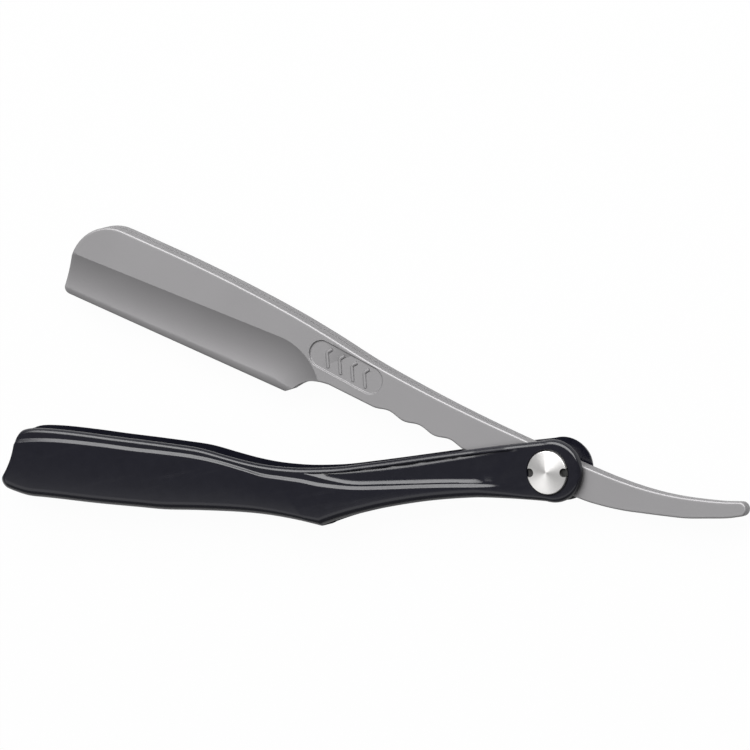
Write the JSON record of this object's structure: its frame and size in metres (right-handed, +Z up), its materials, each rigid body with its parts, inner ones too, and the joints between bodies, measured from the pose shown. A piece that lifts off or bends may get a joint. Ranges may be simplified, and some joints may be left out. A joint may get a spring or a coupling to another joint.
{
  "type": "replaceable blade straight razor",
  "caption": "Folding straight razor whose split steel holder clamps a disposable strip blade and swings out of a moulded handle.",
  "frame": {"origin": "centre of the footprint on the surface that the razor lies on, lying on its side at rest", "axes": "+X from the handle's broad end towards the tail, +Y the side that the holder folds out to, +Z up along the pivot"},
  "size_m": [0.152, 0.0554, 0.0078],
  "materials": {
    "black_resin": "polished moulded resin, slightly blue black",
    "blasted_steel": "bead blasted stainless steel, satin grey",
    "turned_steel": "fine turned stainless steel",
    "spring_steel": "bright spring steel strip",
    "brass": "turned brass",
    "white_nylon": "plain nylon"
  },
  "bodies": {
    "handle": {"handle": "black_resin", "pivot_screw": "turned_steel", "pivot_nut": "turned_steel", "friction_washer_front": "white_nylon", "friction_washer_back": "white_nylon"},
    "holder": {"holder_front": "blasted_steel", "holder_back": "blasted_steel", "pivot_bush": "brass", "clamp_spring_toe": "spring_steel", "clamp_spring_heel": "spring_steel", "blade_stop_pin_toe": "turned_steel", "blade_stop_pin_heel": "turned_steel", "toe_dowel": "turned_steel", "shank_rivet_fore": "turned_steel", "shank_rivet_aft": "turned_steel"}
  },
  "joints": [
    {"name": "holder_swing", "type": "hinge", "parent": "handle", "child": "holder", "pos_m": [0.03696, -0.01762, 0.0039], "axis": [0, 0, 1], "range_deg": [-312, 19.6]}
  ]
}
